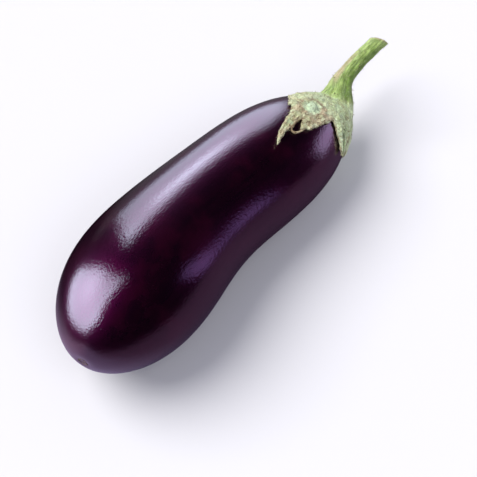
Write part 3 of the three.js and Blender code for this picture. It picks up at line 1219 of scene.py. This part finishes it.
def scatter(name, surfaces, values):
    """Spikes on the surfaces as one plain mesh. values go to the tree's inputs by their names."""
    shape = bmesh.new()
    for surface in surfaces:
        shape.from_mesh(surface.data)
    mesh = bpy.data.meshes.new(name)
    shape.to_mesh(mesh)
    shape.free()
    piece = new_object(name, mesh)
    tree = bpy.data.node_groups.get("stand_spikes") or scatter_tree("stand_spikes")
    return grown(piece, tree, values)


# ---- Stage ---------------------------------------------------------------------------------------


def floor_material(settings):
    """Pale matt floor. Its reflections are painted: darker, as painted shade, except for a painted lit
    reflection on the side of the blossom end.
    """
    material, tree, surface = new_material("pale_floor")
    surface.inputs["Roughness"].default_value = 0.8
    surface.inputs["Specular IOR Level"].default_value = 0.0
    path = add_node(tree, "ShaderNodeLightPath")
    place = object_place(tree)
    x, y, _ = axes_of(tree, place)
    spread = add_node(tree, "ShaderNodeVectorMath", operation="LENGTH")
    tree.links.new(place, spread.inputs[0])
    ahead = ((x + 0.05) * -0.6).apply("MINIMUM", 0.05)
    beside = (y + 0.01).apply("ABSOLUTE")
    # Share of the painted lit reflection, on the side of the blossom end.
    painted_lit_share = range_node(tree, ahead - beside, -0.1, 0.02)
    lamp_side = range_node(tree, y, -0.02, 0.04)
    stemward = range_node(tree, x, 0.01, 0.07)
    far = range_node(tree, spread.outputs["Value"], 0.3, 1.1)
    behind = mix_colour(tree, stemward, *PAINTED_REFLECTION_BEHIND)
    fading = mix_colour(tree, far, PAINTED_REFLECTION_SHADE, PAINTED_REFLECTION_FAR)
    painted_shade_reflection = mix_colour(tree, lamp_side, fading, behind)
    glow = mix_colour(tree, lamp_side, *PAINTED_REFLECTION_LIT)
    painted_reflection = mix_colour(tree, painted_lit_share, painted_shade_reflection, glow)
    # Glossy rays see the painted reflection colours instead of the floor's own colour.
    seen = mix_colour(tree, path.outputs["Is Glossy Ray"], settings.floor_colour, painted_reflection)
    tree.links.new(seen, surface.inputs["Base Color"])
    return material


def glow_material(name, colour, strength):
    """A glow whose brightness follows the panel's own level."""
    material = bpy.data.materials.new(name)
    material.use_nodes = True
    tree = material.node_tree
    tree.nodes.clear()
    level = attribute_node(tree, "level")
    glow = add_node(tree, "ShaderNodeEmission", {"Color": (*colour, 1)})
    plug(tree, math_node(tree, "MULTIPLY", level, strength), glow.inputs["Strength"])
    end = add_node(tree, "ShaderNodeOutputMaterial")
    tree.links.new(glow.outputs[0], end.inputs["Surface"])
    return material


def edge_distance(points, corners):
    """How far inside a closed outline each point lies, negative outside."""
    following = np.roll(corners, -1, 0)
    best = np.full(len(points), np.inf)
    inside = np.zeros(len(points), bool)
    for a, b in zip(corners, following):
        edge = b - a
        share = np.clip(((points - a) @ edge) / (edge @ edge), 0, 1)
        best = np.minimum(best, np.linalg.norm(points - a - share[:, None] * edge, axis=1))
        crosses = (points[:, 1] < a[1]) != (points[:, 1] < b[1])
        height = b[1] - a[1] if b[1] != a[1] else 1e-9
        inside ^= crosses & (points[:, 0] < a[0] + (points[:, 1] - a[1]) / height * edge[0])
    return np.where(inside, best, -best)


def towards(azimuth, elevation):
    """The unit vector towards an azimuth and elevation in degrees."""
    a, e = math.radians(azimuth), math.radians(elevation)
    return np.array((math.cos(a) * math.cos(e), math.sin(a) * math.cos(e), math.sin(e)))


def softbox(facts, strength):
    """A flat glowing panel that is seen in reflections only, from its facts in SOFTBOXES."""
    name = facts["name"]
    away = towards(facts["azimuth"], facts["elevation"])
    across = towards(facts["azimuth"] + 90, 0)
    up = np.cross(away, across)
    centre = np.array(facts["origin"]) + away * facts["distance"]
    outline = np.array(facts["outline"], float)
    corners, levels, fades = outline[:, :2], outline[:, 2], outline[:, 3]
    count = 56
    low, high = corners.min(0) - fades.max() / 2, corners.max(0) + fades.max() / 2
    u, v = np.meshgrid(np.linspace(low[0], high[0], count), np.linspace(low[1], high[1], count))
    spots = np.stack((u.ravel(), v.ravel()), 1)
    weight = 1 / (np.linalg.norm(spots[:, None] - corners[None], axis=2) ** 2 + 400)
    weight /= weight.sum(1, keepdims=True)
    fade = weight @ fades
    level = weight @ levels
    for u, v, extra, width in facts.get("hot", ()):
        level += extra * np.exp(-(((spots - (u, v)) ** 2).sum(1)) / width**2)
    level *= smooth(-0.5, 0.5, edge_distance(spots, corners) / fade)
    points = centre + spots[:, :1] * across + spots[:, 1:] * up
    level[points[:, 2] < 1] = 0
    faces = [face[::-1] for face in loft_faces(count, count, closed=False) if level[face].max() > 0]
    mesh = new_mesh(name, points, faces)
    set_attribute(mesh, "level", level)
    panel = new_object(name, mesh)
    mesh.materials.append(glow_material(name + "_glow", facts["colour"], strength))
    panel.visible_camera = False
    panel.visible_shadow = False
    panel.visible_diffuse = False
    return panel


def soft_sun(name, azimuth, elevation, strength, colour):
    """A broad, even lamp that lights matt surfaces but shows in no reflection."""
    lamp = bpy.data.lights.new(name, "SUN")
    lamp.angle = math.radians(LAMP_SPREAD)
    lamp.energy = strength
    lamp.color = colour
    holder = bpy.data.objects.new(name, lamp)
    away = Vector(towards(azimuth, elevation))
    holder.location = away
    holder.rotation_euler = away.to_track_quat("Z", "Y").to_euler()
    holder.visible_glossy = False
    bpy.context.scene.collection.objects.link(holder)


def build_world():
    """White to the eye, a soft cool fill on matt surfaces, and dim in reflections."""
    world = bpy.data.worlds.new("studio")
    bpy.context.scene.world = world
    world.use_nodes = True
    tree = world.node_tree
    tree.nodes.clear()
    path = add_node(tree, "ShaderNodeLightPath")
    seen = mix_colour(tree, path.outputs["Is Camera Ray"], SKY_FILL, SKY_SEEN)
    dimmed = mix_colour(tree, path.outputs["Is Glossy Ray"], seen, SKY_MIRRORED)
    sky = add_node(tree, "ShaderNodeBackground")
    tree.links.new(dimmed, sky.inputs["Color"])
    end = add_node(tree, "ShaderNodeOutputWorld")
    tree.links.new(sky.outputs[0], end.inputs["Surface"])


def build_camera():
    camera = bpy.data.cameras.new("camera")
    camera.lens = CAMERA_LENS
    camera.sensor_width = 36
    camera.clip_start = 0.01
    holder = bpy.data.objects.new("camera", camera)
    bpy.context.scene.collection.objects.link(holder)
    target = Vector(CAMERA_TARGET) * MM
    place = Vector(CAMERA_PLACE) * MM
    holder.location = place
    holder.rotation_euler = (target - place).to_track_quat("-Z", "Y").to_euler()
    bpy.context.scene.camera = holder


# ---- Settings, operators and panel ---------------------------------------------------------------


def colour_property(name, description, default):
    return bpy.props.FloatVectorProperty(
        name=name, description=description, default=default, size=3, min=0, max=1, subtype="COLOR"
    )


def amount_property(name, description, default):
    return bpy.props.FloatProperty(name=name, description=description, default=default, min=0)


def share_property(name, description, default):
    return bpy.props.FloatProperty(
        name=name, description=description, default=default, min=0, max=1, subtype="FACTOR"
    )


def length_property(name, description, default):
    return bpy.props.FloatProperty(
        name=name, description=description, default=default, min=0, precision=5, unit="LENGTH"
    )


def count_property(name, description, default, least=0):
    return bpy.props.IntProperty(name=name, description=description, default=default, min=least)


class EGGPLANT_PG_fruit(bpy.types.PropertyGroup):
    rings: count_property("Rings", "Rings of faces along the fruit", 230, least=24)
    sides: count_property("Sides", "Faces round the fruit", 176, least=24)
    swell: amount_property("Swell", "Unevenness of the skin", 1.0)
    deep_colour: colour_property("Deep colour", "Darkest tone of the skin", (0.0006, 0.0001, 0.0004))
    maroon_colour: colour_property("Maroon", "Redder tone of the skin", (0.0085, 0.0003, 0.0022))
    wax_roughness: share_property("Wax roughness", "Spread of light inside the wax", 0.37)
    gloss_roughness: share_property("Gloss roughness", "Blur of the clear gloss", 0.075)


class EGGPLANT_PG_green(bpy.types.PropertyGroup):
    voxel: amount_property("Detail", "Face size of the calyx and the stem, in millimetres", 0.36)
    pale_colour: colour_property("Pale green", "Calyx where it is fresh and pale", (0.80, 0.95, 0.60))
    stem_colour: colour_property("Stem's pale green", "Stem's ridges", (0.54, 0.68, 0.25))
    fresh_colour: colour_property("Fresh green", "Stem's green", (0.115, 0.22, 0.025))
    fleck_colour: colour_property("Olive", "Small flecks in the green", (0.17, 0.25, 0.05))
    vein_colour: colour_property("Vein green", "Broad veins of the calyx", (0.26, 0.40, 0.09))
    dry_colour: colour_property("Dry tan", "Tissue that has dried", (0.54, 0.45, 0.29))
    brown_colour: colour_property("Brown", "Thin margins and specks", (0.12, 0.065, 0.03))


class EGGPLANT_PG_fuzz(bpy.types.PropertyGroup):
    prickle_length: length_property("Prickle length", "Longest prickle", 0.0019)
    prickle_radius: length_property("Prickle radius", "Foot of a prickle", 0.00034)
    prickle_density: amount_property("Prickle density", "Prickles per square metre", 16000)
    hair_length: length_property("Hair length", "Longest hair", 0.0013)
    hair_radius: length_property("Hair radius", "Foot of a hair", 0.00005)
    hair_density: amount_property("Hair density", "Hairs per square metre", 900000)
    seed: count_property("Seed", "Places of the prickles and hairs", 7)


class EGGPLANT_PG_stage(bpy.types.PropertyGroup):
    floor_size: length_property("Floor size", "Side of the floor", 6.0)
    floor_colour: colour_property("Floor colour", "Pale floor", (0.61, 0.61, 0.63))
    light_strength: amount_property("Softbox strength", "Brightness of the two large softboxes", 6.7)
    side_strength: amount_property("Side strength", "Brightness of the violet panel", 0.9)
    shoulder_strength: amount_property("Shoulder strength", "Brightness of the panel by the neck", 2.7)
    lamp_strength: amount_property("Lamp strength", "Strength of the key lamp", 3.9)


class EGGPLANT_OT_fruit(bpy.types.Operator):
    """Build the fruit with its waxy purple skin"""

    bl_idname = "eggplant.fruit"
    bl_label = "Fruit"

    def execute(self, context):
        settings = context.scene.eggplant_fruit
        finish = skin_material(settings)
        finish_piece(build_fruit(settings, finish), finish, ("fruit",))
        return {"FINISHED"}


class EGGPLANT_OT_scar(bpy.types.Operator):
    """Build the corky scar at the blossom end"""

    bl_idname = "eggplant.scar"
    bl_label = "Blossom scar"

    def execute(self, context):
        finish_piece(build_scar(), scar_material())
        return {"FINISHED"}


class EGGPLANT_OT_green(bpy.types.Operator):
    """Build the calyx and the stem"""

    bl_idname = "eggplant.green"
    bl_label = "Calyx and stem"

    def execute(self, context):
        settings = context.scene.eggplant_green
        calyx, stem = build_green(settings)
        finish_piece(calyx, green_material("leathery_calyx", settings), ("calyx",))
        finish_piece(stem, green_material("fibrous_stem", settings), ("stem",))
        return {"FINISHED"}


class EGGPLANT_OT_prickles(bpy.types.Operator):
    """Stand prickles on the calyx and the stem"""

    bl_idname = "eggplant.prickles"
    bl_label = "Prickles"

    def execute(self, context):
        settings = context.scene.eggplant_fuzz
        surfaces = [bpy.data.objects[name] for name in GREEN_PIECES]
        finish = plain_material("prickle_tan", PRICKLE_TAN, 0.5)
        values = {
            "Density": settings.prickle_density,
            "Length": settings.prickle_length,
            "Radius": settings.prickle_radius,
            "Bend": 0.35,
            "Lean": 0.35,
            "Seed": settings.seed,
            "Finish": finish,
        }
        finish_piece(scatter("prickles", surfaces, values), finish)
        return {"FINISHED"}


class EGGPLANT_OT_hairs(bpy.types.Operator):
    """Stand fine pale hairs on the calyx and the stem"""

    bl_idname = "eggplant.hairs"
    bl_label = "Fine hairs"

    def execute(self, context):
        settings = context.scene.eggplant_fuzz
        surfaces = [bpy.data.objects[name] for name in GREEN_PIECES]
        finish = plain_material("hair_pale", HAIR_PALE, 0.6)
        values = {
            "Density": settings.hair_density,
            "Length": settings.hair_length,
            "Radius": settings.hair_radius,
            "Bend": 0.5,
            "Lean": 0.9,
            "Seed": settings.seed + 1,
            "Finish": finish,
        }
        finish_piece(scatter("fine_hairs", surfaces, values), finish)
        return {"FINISHED"}


class EGGPLANT_OT_stage(bpy.types.Operator):
    """Set the pale floor, the softboxes, the fill light and the camera"""

    bl_idname = "eggplant.stage"
    bl_label = "Stage"

    def execute(self, context):
        settings = context.scene.eggplant_stage
        half = settings.floor_size / 2
        corners = [(-half, -half, 0), (half, -half, 0), (half, half, 0), (-half, half, 0)]
        floor = new_object("floor", new_mesh("floor", corners, [(0, 1, 2, 3)], scale=1.0))
        floor.data.materials.append(floor_material(settings))
        for panel in SOFTBOXES:
            softbox(panel, getattr(settings, panel["strength"]))
        soft_sun("key_lamp", 112, 55, settings.lamp_strength, (1.0, 0.98, 0.96))
        soft_sun("fill_lamp", -100, 60, settings.lamp_strength * FILL_SHARE, (1.0, 1.0, 1.0))
        build_world()
        build_camera()
        bpy.context.scene.view_settings.view_transform = "Standard"
        return {"FINISHED"}


class EGGPLANT_PT_panel(bpy.types.Panel):
    """Lists the eggplant's pieces and their settings"""

    bl_idname = "EGGPLANT_PT_panel"
    bl_label = "Eggplant"
    bl_space_type = "VIEW_3D"
    bl_region_type = "UI"
    bl_category = "Eggplant"

    def draw(self, context):
        for operator, settings in STEPS:
            self.layout.operator(operator)
            if settings:
                group = getattr(context.scene, settings)
                for key in group.__annotations__:
                    self.layout.prop(group, key)


STEPS = (
    ("eggplant.fruit", "eggplant_fruit"),
    ("eggplant.scar", None),
    ("eggplant.green", "eggplant_green"),
    ("eggplant.prickles", "eggplant_fuzz"),
    ("eggplant.hairs", None),
    ("eggplant.stage", "eggplant_stage"),
)
GROUPS = {
    "eggplant_fruit": EGGPLANT_PG_fruit,
    "eggplant_green": EGGPLANT_PG_green,
    "eggplant_fuzz": EGGPLANT_PG_fuzz,
    "eggplant_stage": EGGPLANT_PG_stage,
}
CLASSES = (
    *GROUPS.values(),
    EGGPLANT_OT_fruit,
    EGGPLANT_OT_scar,
    EGGPLANT_OT_green,
    EGGPLANT_OT_prickles,
    EGGPLANT_OT_hairs,
    EGGPLANT_OT_stage,
    EGGPLANT_PT_panel,
)


def register():
    for cls in CLASSES:
        bpy.utils.register_class(cls)
    for name, group in GROUPS.items():
        setattr(bpy.types.Scene, name, bpy.props.PointerProperty(type=group))


def unregister():
    for name in GROUPS:
        delattr(bpy.types.Scene, name)
    for cls in reversed(CLASSES):
        bpy.utils.unregister_class(cls)


def main():
    register()
    for operator, _ in STEPS:
        family, name = operator.split(".")
        getattr(getattr(bpy.ops, family), name)()


if __name__ == "__main__":
    main()
